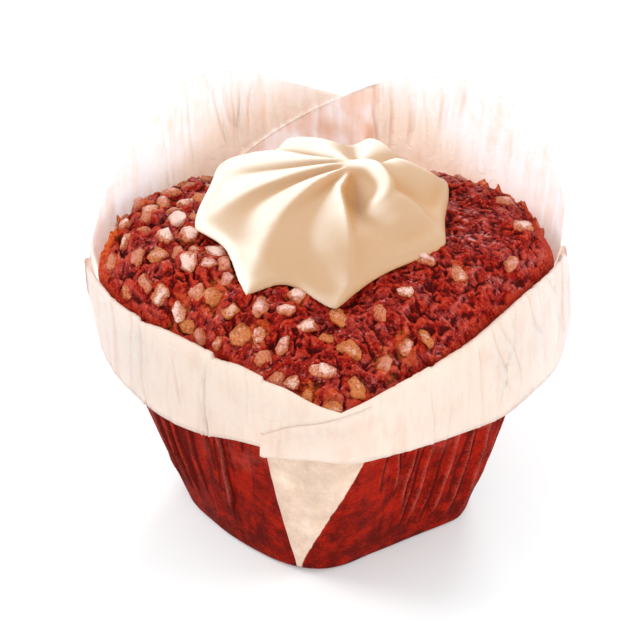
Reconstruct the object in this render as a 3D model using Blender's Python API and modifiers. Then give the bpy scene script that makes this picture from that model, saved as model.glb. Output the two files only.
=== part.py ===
"""A square muffin in a folded paper case, topped with a piped rosette of cream.

Metres, +Z up. The case stands on z = 0, centred on the Z axis. Its four corners
point along -Y (front), +X (right), +Y (back) and -X (left). The two back petals of
the paper stand up. The two front ones are turned down outside as a collar.
Directions are degrees, anticlockwise from +X, seen from above.
"""

import math

import bmesh
import bpy
from mathutils import Vector

MM = 0.001

# Paper. "Reach" is the distance from the axis to a corner, and "power" is the
# squareness of an outline: 2 is a circle, and a large number is a square. The base is
# softer and more uneven than the opening, so it is given as a radius by direction.
# Pieces that are joined overlap by the bite.
PAPER = 0.4 * MM
BITE = 0.2 * MM
BASE_OUTLINE = (
    (0, 31.4), (40, 27.8), (83, 30.8), (130, 28.0), (176, 30.4), (193, 30.0), (210, 28.4),
    (234, 28.6), (258, 31.0), (268, 31.2), (276, 30.2), (290, 27.6), (307, 26.9), (320, 28.0),
    (330, 30.1), (337, 31.8), (347, 32.0), (360, 31.4),
)
FOLD_REACH, FOLD_TURN = 50.4 * MM, 2.5
FOLD_POWER = (
    (0, 4.6), (90, 3.3), (180, 4.8), (225, 8.0), (270, 7.0), (315, 5.2), (360, 4.6),
)
FOLD_HEIGHT = (
    (0, 61.8), (45, 59.0), (90, 58.0), (135, 59.0), (180, 61.4), (190, 60.0), (200, 57.0),
    (225, 56.4), (260, 56.8), (272.5, 54.8), (285, 55.8), (315, 56.8), (330, 59.0),
    (342, 61.0), (360, 61.8),
)
WALL_BULGE = 1.0 * MM
WALL_RINGS = 6

# Directions from one corner to the next: close together at the corners.
SIDE_DIRECTIONS = (
    0, 1.2, 2.8, 5, 8, 12, 17, 23, 30, 37.5, 45, 52.5, 60, 67, 73, 78, 81, 83.5, 86, 88.4,
)

# Standing petals: the height of the free edge by direction. The right one passes
# inside the left one at the back corner.
PETAL_FLARE = ((0, 0.10), (60, 0.10), (120, 0.08), (150, 0.0), (183, -0.06))
LEFT_PETAL = (
    (82, 70.4), (86, 71.7), (94, 73.7), (103.5, 77.2), (111, 80.8), (122, 84.2), (134, 85.8),
    (144, 85.4), (154, 82.6), (164, 77.0), (172, 71.4), (177, 66.6), (182.5, 61.8),
)
RIGHT_PETAL = (
    (2.5, 62.4), (5, 70.4), (11, 76.0), (17.5, 80.6), (26, 84.1), (36, 85.7), (48, 85.3),
    (60, 82.6), (70.5, 79.0), (80, 74.8), (86, 71.7), (97, 66.8), (107, 63.2), (118, 60.2),
)
NOTCH_DIRECTION = 86.0
FLAP_START, FLAP_END = 68.0, 118.0
FLAP_SHY = 0.7 * MM
PETAL_RINGS = 4

# Collar: the height of its free edge by direction. The right side of it ends in a
# tongue that lies over the left side at the front corner.
COLLAR_EDGE = (
    (182.5, 59.0), (185.5, 54.8), (188.5, 50.9), (191, 43.6), (196, 39.8), (201, 37.7),
    (212, 35.0), (227, 35.4), (244, 39.0), (253, 40.9), (262, 43.6), (270, 45.4),
    (281, 42.2), (293, 39.4), (311, 36.6), (329, 34.7), (341, 36.4), (351, 38.8),
    (358, 45.6), (362.5, 55.0),
)
COLLAR_LEAN = ((180, -0.08), (192, -0.05), (206, 0.0), (315, 0.02), (345, 0.06), (362, 0.08))
COLLAR_BEND = 0.4 * MM
COLLAR_RINGS = 4
TONGUE_START, TONGUE_END = 252.0, 287.0
TONGUE_EDGE = ((253.5, 39.1), (261, 41.6), (269, 43.9), (281, 42.0), (293, 39.4))
TONGUE_TOP = ((253.5, 44.4), (262, 50.2), (271, 53.6), (286, 53.6))
TONGUE_LIFT = 0.45 * MM

# The pleat that takes in the spare paper at the front corner: a wedge with a raised
# left edge, which narrows to a point near the floor.
PLEAT_HEIGHTS = (2.0, 12.0, 24.0, 36.0, 46.0, 54.0)
PLEAT_LEFT = ((2, 258.6), (36, 251.6), (54, 248.0))
PLEAT_RIGHT = ((2, 260.6), (36, 280.4), (54, 289.0))
PLEAT_LIFT = 0.7 * MM
PLEAT_COLUMNS = 12

# Sponge.
GAP = 0.35 * MM
RIM_BELOW_FOLD = ((0, 1.6), (90, 4.0), (180, 1.8), (225, 1.2), (270, 1.0), (315, 1.2), (360, 1.6))
DOME_HEIGHT = 71.4 * MM
DOME_POWER = (
    (0, 12), (25, 15), (50, 7), (70, 3.0), (90, 2.3), (110, 3.0), (130, 7), (155, 15),
    (180, 12), (225, 7.5), (270, 2.6), (315, 7.5), (360, 12),
)
DOME_CROWN = 0.04
DOME_SHARES = (1.0, 0.985, 0.96, 0.925, 0.87, 0.79, 0.64, 0.4, 0.15)
SIDE_RINGS = 4

# Cream rosette: each ridge runs from its toe to the crest, in millimetres, and is
# followed by the depth of the groove beyond it, at the toe and near the crest.
RIDGES = (
    (
        ((2.1, -30.4, 66.4), (4.3, -27.2, 70.2), (5.0, -19.5, 74.4), (4.2, -12.1, 78.4),
         (2.9, -3.7, 81.4)),
        4.2, 5.0,
    ),
    (
        ((25.2, -12.2, 69.6), (22.6, -8.0, 73.6), (18.5, -4.5, 76.8), (14.3, -3.2, 79.4),
         (12.2, 1.2, 81.0)),
        3.0, 1.2,
    ),
    (
        ((26.4, 12.6, 70.4), (23.8, 10.6, 74.6), (19.1, 10.5, 77.8), (15.4, 9.6, 79.8),
         (12.0, 5.6, 81.2)),
        4.4, 1.2,
    ),
    (
        ((11.2, 29.4, 69.0), (10.1, 27.2, 74.4), (9.1, 18.9, 78.2), (8.1, 11.9, 80.2),
         (7.6, 7.0, 81.4)),
        4.4, 1.2,
    ),
    (
        ((-9.2, 29.4, 69.0), (-8.3, 27.2, 74.4), (-5.0, 20.1, 78.0), (-0.9, 13.1, 80.0),
         (3.2, 7.2, 81.4)),
        3.4, 1.4,
    ),
    (
        ((-23.8, 21.2, 70.0), (-21.2, 17.7, 74.6), (-13.8, 13.5, 77.8), (-6.4, 10.0, 79.8),
         (0.9, 6.6, 81.2)),
        3.4, 1.6,
    ),
    (
        ((-27.8, -6.2, 69.6), (-24.0, -3.2, 73.6), (-16.9, 1.3, 76.8), (-8.9, 3.1, 79.4),
         (0.0, 4.7, 81.4)),
        4.4, 2.2,
    ),
    (
        ((-16.6, -26.0, 68.0), (-14.4, -19.2, 72.8), (-10.7, -10.3, 76.8), (-4.6, -3.0, 79.8),
         (1.4, 1.4, 81.6)),
        5.0, 2.4,
    ),
)
RIDGE_COLUMNS = 7
ROSETTE_SHARES = (0.0, 0.05, 0.12, 0.22, 0.34, 0.47, 0.60, 0.73, 0.86, 1.0)
ROSETTE_CENTRE = Vector((5.8, 4.6, 81.8)) * MM
GROOVE_SHARPNESS = 1.15
GROOVE_SLOPE = (15.0, 85.0)
LIP_HEIGHT, SHOULDER_RISE, SHOULDER_SHARE = 1.3 * MM, 1.2 * MM, 0.17
CAP_SHARES, CAP_RISE = (0.5, 0.85), 0.2 * MM
UNDERSIDE_SHARES = (0.25, 0.5, 0.7, 0.85, 0.965)
ROSETTE_RADIUS = 27.0 * MM
CURL_THICKNESS = 2.3 * MM
CURL_ROUTE = (
    (1.0, 6.8, 79.6),
    (5.4, 6.0, 80.2),
    (9.2, 2.6, 80.0),
    (11.0, -1.8, 79.0),
    (10.0, -4.8, 77.6),
    (7.8, -4.8, 76.6),
)
CURL_RADII = (0.9, 1.0, 0.95, 0.9, 0.75, 0.45)
WELD = 0.01 * MM

SHARP_ANGLE = math.radians(40)

# Name: (colour, roughness)
FINISHES = {
    "sponge": ((0.27, 0.012, 0.010), 0.55),
    "cream": ((0.86, 0.71, 0.50), 0.40),
    "paper_case": ((0.86, 0.72, 0.60), 0.60),
}


def lerp(start, end, share):
    return start + (end - start) * share


def keyed(position, table):
    """A smooth curve through a table of (position, value) pairs."""
    if position <= table[0][0]:
        return table[0][1]
    for k in range(len(table) - 1):
        (x0, y0), (x1, y1) = table[k], table[k + 1]
        if position <= x1:
            before, after = table[max(k - 1, 0)], table[min(k + 2, len(table) - 1)]
            width = x1 - x0
            slope0 = (y1 - before[1]) / (x1 - before[0]) * width
            slope1 = (after[1] - y0) / (after[0] - x0) * width
            t = (position - x0) / width
            rise = (3 - 2 * t) * t * t
            return lerp(y0, y1, rise) + t * (1 - t) * ((1 - t) * slope0 - t * slope1)
    return table[-1][1]


def outline_radius(direction, reach, power, turn):
    """Radius of a rounded square whose corners lie at reach, on the turned axes."""
    local = math.radians(direction - turn + 45)
    across = abs(math.cos(local)) ** power + abs(math.sin(local)) ** power
    at_corner = 2 * math.sqrt(0.5) ** power
    return reach * (at_corner / across) ** (1 / power)


def fold_height(direction):
    return keyed(direction % 360, FOLD_HEIGHT) * MM


def case_radius(direction, height):
    """Outer radius of the paper wall."""
    fold = fold_height(direction)
    share = min(height / fold, 1.0)
    base = keyed(direction % 360, BASE_OUTLINE) * MM
    power = keyed(direction % 360, FOLD_POWER)
    rim = outline_radius(direction, FOLD_REACH, power, FOLD_TURN)
    bulge = 4 * WALL_BULGE * share * (1 - share)
    flare = max(height - fold, 0.0) * keyed(direction, PETAL_FLARE)
    return lerp(base, rim, share) + bulge + flare


def at(direction, radius, height):
    angle = math.radians(direction)
    return Vector((radius * math.cos(angle), radius * math.sin(angle), height))


def all_directions():
    return [FOLD_TURN + 90 * side + step for side in range(4) for step in SIDE_DIRECTIONS]


def directions_between(start, end):
    return [direction for direction in all_directions() if start < direction < end]


def row_faces(lower, upper, closed):
    """Quads between two rows of vertex indices."""
    count = len(lower)
    spans = count if closed else count - 1
    return [
        (lower[i], lower[(i + 1) % count], upper[(i + 1) % count], upper[i])
        for i in range(spans)
    ]


def make_object(name, points, faces):
    mesh = bpy.data.meshes.new(name)
    mesh.from_pydata([tuple(p) for p in points], [], faces)
    return bpy.data.objects.new(name, mesh)


def loft(name, rings):
    """A closed solid through rings of points, from the lowest to the highest."""
    count = len(rings[0])
    rows = [list(range(k * count, (k + 1) * count)) for k in range(len(rings))]
    faces = [tuple(reversed(rows[0])), tuple(rows[-1])]
    for lower, upper in zip(rows, rows[1:]):
        faces += row_faces(lower, upper, closed=True)
    return make_object(name, [p for ring in rings for p in ring], faces)


def plate(name, directions, span, rings, outer_radius, inner_radius):
    """A thin curved plate. span gives its lowest and highest points by direction."""
    rows = []
    for k in range(rings + 1):
        outer, inner = [], []
        for i, direction in enumerate(directions):
            low, high = span(direction)
            height = lerp(low, high, k / rings)
            share = i / (len(directions) - 1)
            outer.append(at(direction, outer_radius(direction, height, share), height))
            inner.append(at(direction, inner_radius(direction, height, share), height))
        rows.append(outer + inner[::-1])
    return loft(name, rows)


def evaluated_mesh(source):
    bpy.context.view_layer.update()
    graph = bpy.context.evaluated_depsgraph_get()
    return bpy.data.meshes.new_from_object(source.evaluated_get(graph))


def joined(parts, guides):
    """The union of closed solids, as one mesh in the first of them."""
    body = parts[0]
    for part in parts:
        guides.objects.link(part)
        part.hide_render = True
        part.display_type = "WIRE"
    for part in parts[1:]:
        join = body.modifiers.new("join", "BOOLEAN")
        join.operation = "UNION"
        join.solver = "EXACT"
        join.object = part
    mesh = evaluated_mesh(body)
    body.modifiers.clear()
    body.data = mesh
    guides.objects.unlink(body)
    body.hide_render = False
    body.display_type = "TEXTURED"
    return body


def petal_edge(direction):
    edge = RIGHT_PETAL if direction < NOTCH_DIRECTION else LEFT_PETAL
    return keyed(direction, edge) * MM


def collar_radius(direction, height):
    """Inner radius of the collar."""
    fold = fold_height(direction)
    lean = keyed(direction, COLLAR_LEAN) * (fold - height)
    return case_radius(direction, fold) + 2 * COLLAR_BEND + lean


def build_sheet():
    """The paper as one sheet: floor, wall, standing petals and turned-down collar."""
    around = all_directions()
    half = len(around) // 2
    back, front = around[: half + 1], [*around[half:], around[0] + 360]
    points, faces = [], []

    def add_row(row):
        points.extend(row)
        return list(range(len(points) - len(row), len(points)))

    rows = []
    for k in range(WALL_RINGS + 1):
        heights = [(d, fold_height(d) * k / WALL_RINGS) for d in around]
        rows.append(add_row([at(d, case_radius(d, h), h) for d, h in heights]))
    faces.append(tuple(reversed(rows[0])))
    for lower, upper in zip(rows, rows[1:]):
        faces += row_faces(lower, upper, closed=True)

    standing = [rows[-1][: half + 1]]
    for k in range(1, PETAL_RINGS + 1):
        heights = [(d, lerp(fold_height(d), petal_edge(d), k / PETAL_RINGS)) for d in back]
        standing.append(add_row([at(d, case_radius(d, h), h) for d, h in heights]))

    hanging = [[*rows[-1][half:], rows[-1][0]]]
    folds = [(d, fold_height(d)) for d in front]
    bend = [at(d, case_radius(d, h) + COLLAR_BEND, h + COLLAR_BEND) for d, h in folds]
    hanging.append(add_row(bend))
    for k in range(COLLAR_RINGS + 1):
        heights = [(d, lerp(h, keyed(d, COLLAR_EDGE) * MM, k / COLLAR_RINGS)) for d, h in folds]
        hanging.append(add_row([at(d, collar_radius(d, h), h) for d, h in heights]))

    for sheet_rows in (standing, hanging):
        for lower, upper in zip(sheet_rows, sheet_rows[1:]):
            faces += row_faces(lower, upper, closed=False)
    sheet = make_object("paper_case", points, faces)
    solidify = sheet.modifiers.new("paper", "SOLIDIFY")
    solidify.thickness = PAPER
    solidify.offset = -1.0
    solidify.use_even_offset = True
    solidify.use_quality_normals = True
    return sheet


def build_flap():
    """The end of the right petal, which passes inside the left one."""

    def span(direction):
        top = keyed(direction, RIGHT_PETAL) * MM
        shy = FLAP_SHY if direction < NOTCH_DIRECTION else 0.0
        return fold_height(direction) - PAPER, top - shy

    def outer(direction, height, share):
        return case_radius(direction, height) - PAPER + BITE

    def inner(direction, height, share):
        lift = lerp(-BITE / 2, PAPER, min(share * 2, 1.0))
        return case_radius(direction, height) - PAPER - lift

    directions = directions_between(FLAP_START, FLAP_END)
    return plate("flap", directions, span, PETAL_RINGS, outer, inner)


def build_tongue():
    """The end of the right collar, which lies over the left one."""

    def span(direction):
        return keyed(direction, TONGUE_EDGE) * MM, keyed(direction, TONGUE_TOP) * MM

    def outer(direction, height, share):
        lift = lerp(TONGUE_LIFT, -BITE / 2, max(share * 2 - 1, 0.0))
        return collar_radius(direction, height) + PAPER + lift

    def inner(direction, height, share):
        return collar_radius(direction, height) + PAPER - BITE

    directions = directions_between(TONGUE_START, TONGUE_END)
    return plate("tongue", directions, span, COLLAR_RINGS, outer, inner)


def build_pleat():
    """The folded wedge of spare paper at the front corner."""
    rows = []
    for millimetres in PLEAT_HEIGHTS:
        height = millimetres * MM
        left, right = keyed(millimetres, PLEAT_LEFT), keyed(millimetres, PLEAT_RIGHT)
        outer, inner = [], []
        for i in range(PLEAT_COLUMNS + 1):
            direction = lerp(left, right, i / PLEAT_COLUMNS)
            wall = case_radius(direction, height)
            lift = lerp(PLEAT_LIFT, -BITE / 2, i / PLEAT_COLUMNS)
            outer.append(at(direction, wall + lift, height))
            inner.append(at(direction, wall - BITE, height))
        rows.append(outer + inner[::-1])
    return loft("pleat", rows)


def build_case(guides):
    return joined([build_sheet(), build_flap(), build_tongue(), build_pleat()], guides)


def rim_height(direction):
    return fold_height(direction) - keyed(direction % 360, RIM_BELOW_FOLD) * MM


def sponge_radius(direction, height):
    return case_radius(direction, height) - PAPER - GAP


def dome_height(direction, share):
    """Height of the sponge's top, at this share of the way from the axis to the rim."""
    power = keyed(direction % 360, DOME_POWER)
    rise = lerp(1 - share**power, 1 - share * share, DOME_CROWN)
    return lerp(rim_height(direction), DOME_HEIGHT, rise)


def dome_below(place):
    """Height of the sponge's top below a point."""
    direction = math.degrees(math.atan2(place.y, place.x)) % 360
    rim = sponge_radius(direction, rim_height(direction))
    return dome_height(direction, math.hypot(place.x, place.y) / rim)


def build_sponge():
    """The cake: its side follows the paper, and its top is domed."""
    floor = PAPER + GAP
    around = all_directions()
    rings = []
    for k in range(SIDE_RINGS):
        heights = [(d, lerp(floor, rim_height(d), k / SIDE_RINGS)) for d in around]
        rings.append([at(d, sponge_radius(d, h), h) for d, h in heights])
    for share in DOME_SHARES:
        rims = [(d, sponge_radius(d, rim_height(d))) for d in around]
        rings.append([at(d, rim * share, dome_height(d, share)) for d, rim in rims])
    return loft("sponge", rings)


def along(route, share):
    """A point on the smooth curve through a ridge's places."""
    position = share * (len(route) - 1)
    axes = [[(i, place[axis]) for i, place in enumerate(route)] for axis in range(3)]
    return Vector([keyed(position, axis) for axis in axes]) * MM


def groove_direction(place, share):
    """Way out of a groove: sideways at the toe, and upward at the crest."""
    out = Vector((place.x - ROSETTE_CENTRE.x / 2, place.y - ROSETTE_CENTRE.y / 2, 0.0)).normalized()
    slope = math.radians(lerp(*GROOVE_SLOPE, share))
    return out * math.cos(slope) + Vector((0, 0, math.sin(slope)))


def rosette_ring(share):
    """One ring of the rosette, at this share of the way from the toes to the crest."""
    ring = []
    for i, (route, toe_depth, crest_depth) in enumerate(RIDGES):
        start = along(route, share)
        end = along(RIDGES[(i + 1) % len(RIDGES)][0], share)
        depth = lerp(toe_depth, crest_depth, share) * MM
        for k in range(RIDGE_COLUMNS):
            t = k / RIDGE_COLUMNS
            place = start.lerp(end, t)
            chord = (end - start).length
            bulge = chord * chord / (8 * ROSETTE_RADIUS) * math.sin(math.pi * t)
            groove = depth * math.sin(math.pi * t) ** GROOVE_SHARPNESS
            ring.append(place + groove_direction(place, share) * (bulge - groove))
    return ring


def build_curl():
    """The tail that the nozzle leaves as it lifts: a short hook on top."""
    data = bpy.data.curves.new("curl", "CURVE")
    data.dimensions = "3D"
    data.bevel_depth = CURL_THICKNESS
    data.bevel_resolution = 2
    data.resolution_u = 4
    data.use_fill_caps = True
    spline = data.splines.new("BEZIER")
    spline.bezier_points.add(len(CURL_ROUTE) - 1)
    for knot, place, radius in zip(spline.bezier_points, CURL_ROUTE, CURL_RADII):
        knot.co = Vector(place) * MM
        knot.handle_left_type = knot.handle_right_type = "AUTO"
        knot.radius = radius
    curve = bpy.data.objects.new("curl_path", data)
    bpy.context.scene.collection.objects.link(curve)
    mesh = evaluated_mesh(curve)
    bpy.data.objects.remove(curve)
    welded = bmesh.new()
    welded.from_mesh(mesh)
    bmesh.ops.remove_doubles(welded, verts=welded.verts, dist=WELD)
    welded.to_mesh(mesh)
    welded.free()
    return bpy.data.objects.new("curl", mesh)


def build_cream(guides):
    """The rosette: an underside that follows the dome, the ridged top and the curl."""
    rings = [rosette_ring(share) for share in ROSETTE_SHARES]
    underside = []
    for share in UNDERSIDE_SHARES:
        ring = [place * share for place in rings[0]]
        for place in ring:
            place.z = dome_below(place) + GAP
        underside.append(ring)
    for place in rings[0]:
        place.z = dome_below(place) + GAP + LIP_HEIGHT
    for ring, share in zip(rings[1:], ROSETTE_SHARES[1:]):
        for place in ring:
            shoulder = LIP_HEIGHT + SHOULDER_RISE * min(share / SHOULDER_SHARE, 1.0)
            place.z = max(place.z, dome_below(place) + GAP + shoulder)
    caps = []
    for share in CAP_SHARES:
        rise = Vector((0, 0, CAP_RISE * (1 - share) / share))
        caps.append([place.lerp(ROSETTE_CENTRE, share) + rise for place in rings[-1]])
    body = loft("cream", [*underside, *rings, *caps])
    return joined([body, build_curl()], guides)


def finish_object(shaped, collection):
    colour, roughness = FINISHES[shaped.name]
    material = bpy.data.materials.new(shaped.name)
    material.use_nodes = True
    surface = material.node_tree.nodes["Principled BSDF"]
    surface.inputs["Base Color"].default_value = (*colour, 1.0)
    surface.inputs["Roughness"].default_value = roughness
    surface.inputs["Metallic"].default_value = 0.0
    shaped.data.materials.clear()
    shaped.data.materials.append(material)
    shaped.data.shade_smooth()
    shaped.data.set_sharp_from_angle(angle=SHARP_ANGLE)
    collection.objects.link(shaped)


def main():
    for old in list(bpy.data.objects):
        bpy.data.objects.remove(old)
    muffin = bpy.data.collections.new("muffin")
    guides = bpy.data.collections.new("guides")
    bpy.context.scene.collection.children.link(muffin)
    bpy.context.scene.collection.children.link(guides)
    for shaped in (build_sponge(), build_cream(guides), build_case(guides)):
        finish_object(shaped, muffin)


main()
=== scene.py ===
"""A square red muffin in a folded paper case, with sugar nibs and a rosette of cream."""

import math
import random

import bpy
import numpy as np
from mathutils import Matrix, Vector, noise
from mathutils.bvhtree import BVHTree


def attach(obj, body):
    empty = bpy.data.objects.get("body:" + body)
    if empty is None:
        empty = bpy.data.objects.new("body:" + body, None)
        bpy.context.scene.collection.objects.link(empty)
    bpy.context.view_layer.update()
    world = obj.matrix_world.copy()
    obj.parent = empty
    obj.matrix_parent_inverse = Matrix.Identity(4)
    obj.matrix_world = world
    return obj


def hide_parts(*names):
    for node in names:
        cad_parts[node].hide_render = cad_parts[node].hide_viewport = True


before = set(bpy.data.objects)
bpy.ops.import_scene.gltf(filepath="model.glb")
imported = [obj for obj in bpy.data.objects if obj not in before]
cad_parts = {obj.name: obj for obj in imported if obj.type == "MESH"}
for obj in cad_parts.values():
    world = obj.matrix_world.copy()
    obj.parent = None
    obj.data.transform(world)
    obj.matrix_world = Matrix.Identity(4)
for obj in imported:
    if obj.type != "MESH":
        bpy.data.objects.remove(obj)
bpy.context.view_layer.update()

MM = 0.001

# ----------------------------------------
# Paper case
# One square sheet of greaseproof paper, pressed into a cup by a square die. The two back
# petals stand, and the two front ones are turned down outside as a collar. The wall is
# soaked red by the cake. Directions are degrees anticlockwise from +X, lengths are mm.

PAPER, PAPER_WELD = 0.14, 0.02
BASE_OUTLINE = (
    (0, 31.4), (40, 27.8), (83, 30.8), (130, 28.0), (176, 30.4), (193, 30.0), (210, 28.4),
    (234, 28.6), (258, 31.0), (268, 31.2), (276, 30.2), (290, 27.6), (307, 26.9), (320, 28.0),
    (330, 30.1), (337, 31.8), (347, 32.0), (360, 31.4),
)
BASE_FILLET = 1.6
FOLD_REACH, FOLD_TURN = 50.4, 2.5
BACK, FRONT = FOLD_TURN + 90, FOLD_TURN + 270
FOLD_POWER = ((0, 4.6), (90, 3.3), (180, 4.8), (225, 8.0), (270, 7.0), (315, 5.2), (360, 4.6))
FOLD_HEIGHT = (
    (0, 61.8), (45, 59.0), (90, 58.0), (135, 59.0), (180, 61.4), (190, 60.0), (200, 57.0),
    (225, 56.4), (260, 56.9), (272.5, 55.2), (285, 56.2), (315, 56.8), (330, 59.0),
    (342, 61.0), (360, 61.8),
)
# Where a crease crosses the fold, the edge drops by a small step: (direction, drop, run-out).
FOLD_STEPS = ((205.0, 0.8, 9.0), (233.5, 1.1, 12.0), (252.5, 0.7, 8.0), (300.0, 0.35, 7.0))
# At the front corner the fold dips to a point: (direction, depth, half width in degrees).
FOLD_NOTCH = (273.5, 1.0, 2.0)
WALL_BULGE = 1.0
PETAL_FLARE = ((0, 0.10), (60, 0.10), (120, 0.08), (150, 0.0), (183, -0.06))
LEFT_PETAL = (
    (82, 70.4), (86, 71.7), (94, 73.7), (103.5, 77.2), (111, 80.8), (122, 84.2), (134, 85.8),
    (144, 85.4), (154, 82.6), (164, 77.0), (172, 71.4), (177, 66.6), (182.5, 61.8),
)
RIGHT_PETAL = (
    (2.5, 62.4), (5, 70.4), (11, 76.0), (17.5, 80.6), (26, 84.1), (36, 85.7), (48, 85.3),
    (60, 82.6), (70.5, 79.0), (80, 74.8), (86, 71.7), (97, 66.8), (107, 63.2), (118, 60.2),
)
NOTCH_DIRECTION = 86.0
COLLAR_EDGE = (
    (182.5, 59.0), (185.5, 54.8), (188.5, 50.9), (191, 43.6), (196, 39.8), (201, 37.7),
    (212, 35.0), (227, 35.4), (244, 39.0), (253, 40.9), (262, 43.6), (270, 45.4),
    (281, 42.2), (293, 39.4), (311, 36.6), (329, 34.7), (341, 36.4), (351, 38.8),
    (358, 45.6), (362.5, 55.0),
)
COLLAR_LEAN = ((180, -0.08), (192, -0.05), (206, 0.0), (315, 0.02), (345, 0.06), (362, 0.08))
COLLAR_BEND = 0.6
SHEET_COLUMNS = 840
FLOOR_SHARES = (0.0, 0.4, 0.8)
FILLET_TURNS = (0, 30, 60, 90)
WALL_ROWS, BEND_ROWS, HANGING_ROWS = 26, 4, 15
# The rows of the bend take this share of a standing petal, and this length of the collar.
BEND_SHARE, BEND_TRAVEL = 0.06, 2.0
# How much of the creases' height is left on the bend and at a petal's free edge.
BEND_RELIEF, EDGE_RELIEF = 0.6, 0.15


def keyed(position, table):
    """A smooth curve through a table of (position, value) pairs."""
    x, y = np.array(table, float).T
    last = len(x) - 1
    ahead, behind = np.minimum(np.arange(last + 1) + 1, last), np.maximum(np.arange(last + 1) - 1, 0)
    slope = (y[ahead] - y[behind]) / (x[ahead] - x[behind])
    k = np.clip(np.searchsorted(x, position, side="right") - 1, 0, last - 1)
    width = x[k + 1] - x[k]
    t = np.clip((position - x[k]) / width, 0, 1)
    rise = (3 - 2 * t) * t * t
    return y[k] + (y[k + 1] - y[k]) * rise + t * (1 - t) * width * ((1 - t) * slope[k] - t * slope[k + 1])


def smooth(start, end, value):
    """0 before start, 1 after end, and a soft step between."""
    t = np.clip((value - start) / (end - start), 0, 1)
    return t * t * (3 - 2 * t)


def outline(direction, reach, power):
    """Radius of a rounded square whose corners lie at reach."""
    local = np.radians(direction - FOLD_TURN + 45)
    across = np.abs(np.cos(local)) ** power + np.abs(np.sin(local)) ** power
    return reach * (2 * np.sqrt(0.5) ** power / across) ** (1 / power)


def fold_height(direction):
    height = keyed(direction % 360, FOLD_HEIGHT)
    for place, drop, run in FOLD_STEPS:
        beyond = direction % 360 - place
        height = height - drop * smooth(0, 0.35, beyond) * (1 - smooth(0.35, run, beyond))
    place, depth, width = FOLD_NOTCH
    return height - depth * np.exp(-np.abs(direction % 360 - place) / width)


def wall_radius(direction, height):
    fold = fold_height(direction)
    share = np.minimum(height / fold, 1)
    base = keyed(direction % 360, BASE_OUTLINE)
    rim = outline(direction, FOLD_REACH, keyed(direction % 360, FOLD_POWER))
    flare = np.maximum(height - fold, 0) * keyed(direction, PETAL_FLARE)
    return base + (rim - base) * share + 4 * WALL_BULGE * share * (1 - share) + flare


def petal_edge(direction):
    return np.where(direction < NOTCH_DIRECTION, keyed(direction, RIGHT_PETAL), keyed(direction, LEFT_PETAL))


def collar_radius(direction, height):
    fold = fold_height(direction)
    lean = keyed(direction, COLLAR_LEAN) * (fold - height)
    return wall_radius(direction, fold) + 2 * COLLAR_BEND + lean


def even_directions(start, end, count):
    """Directions an equal distance apart along the opening's outline."""
    dense = np.linspace(start, end, 4000)
    radius = wall_radius(dense, 50.0)
    x, y = radius * np.cos(np.radians(dense)), radius * np.sin(np.radians(dense))
    run = np.concatenate([[0], np.cumsum(np.hypot(np.diff(x), np.diff(y)))])
    return np.interp(np.linspace(0, run[-1], count), run, dense)


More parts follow.
